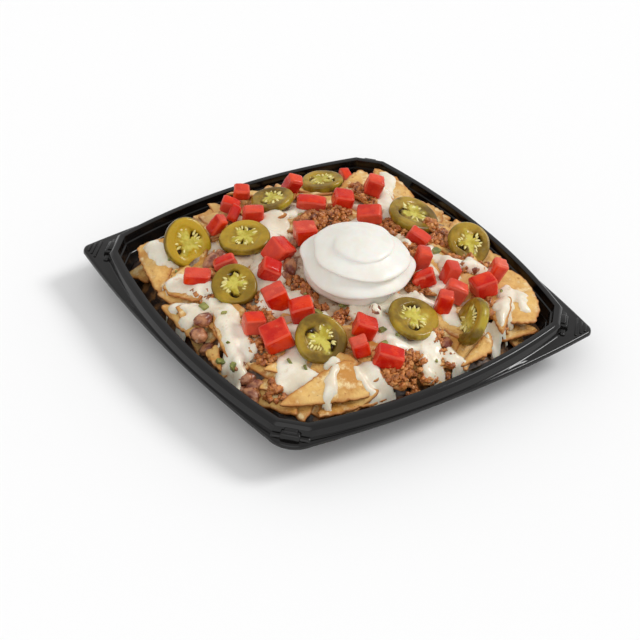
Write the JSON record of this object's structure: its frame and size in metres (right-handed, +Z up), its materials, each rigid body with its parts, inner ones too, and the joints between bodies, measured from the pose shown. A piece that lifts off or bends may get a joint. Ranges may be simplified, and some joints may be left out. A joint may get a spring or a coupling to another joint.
{
  "type": "loaded nachos in a takeaway tray",
  "caption": "Tortilla chips piled with minced beef, chilli beans, cheese sauce, diced tomato, sliced pickled peppers and a swirl of sour cream in a square black tray.",
  "frame": {"origin": "centre of the tray's floor, on the surface it stands on", "axes": "+Z up; X and Y along the tray's sides; the two tabs are on the -X +Y and +X -Y corners"},
  "size_m": [0.2096, 0.2096, 0.0641],
  "materials": {
    "tray": "thin formed black plastic, glossy, with faint soft scuffs",
    "heap": "chips, minced beef, beans and cheese sauce, moist",
    "sour_cream": "thick cream, soft sheen",
    "jalapeno": "pickled pepper, wet olive green skin and yellow green pith",
    "tomato": "cut tomato, wet, glossy skin side",
    "chip": "fried corn tortilla, blistered, browned at the edges"
  },
  "bodies": {
    "root": {"tray": "tray", "heap": "heap", "sour_cream": "sour_cream", "jalapeno_01": "jalapeno", "jalapeno_02": "jalapeno", "jalapeno_03": "jalapeno", "jalapeno_04": "jalapeno", "jalapeno_05": "jalapeno", "jalapeno_06": "jalapeno", "jalapeno_07": "jalapeno", "jalapeno_08": "jalapeno", "jalapeno_09": "jalapeno", "jalapeno_10": "jalapeno", "tomato_01": "tomato", "tomato_02": "tomato", "tomato_03": "tomato", "tomato_04": "tomato", "tomato_05": "tomato", "tomato_06": "tomato", "tomato_07": "tomato", "tomato_08": "tomato", "tomato_09": "tomato", "tomato_10": "tomato", "tomato_11": "tomato", "tomato_12": "tomato", "tomato_13": "tomato", "tomato_14": "tomato", "tomato_15": "tomato", "tomato_16": "tomato", "tomato_17": "tomato", "tomato_18": "tomato", "tomato_19": "tomato", "tomato_20": "tomato", "tomato_21": "tomato", "tomato_22": "tomato", "tomato_23": "tomato", "tomato_24": "tomato", "tomato_25": "tomato", "tomato_26": "tomato", "tomato_27": "tomato", "tomato_28": "tomato", "tomato_29": "tomato", "chip_01": "chip", "chip_02": "chip", "chip_03": "chip", "chip_04": "chip", "chip_05": "chip", "chip_06": "chip", "chip_07": "chip", "chip_08": "chip", "chip_09": "chip", "chip_10": "chip", "chip_11": "chip", "chip_12": "chip", "chip_13": "chip", "chip_14": "chip", "chip_15": "chip", "chip_16": "chip", "chip_17": "chip"}
  },
  "joints": []
}
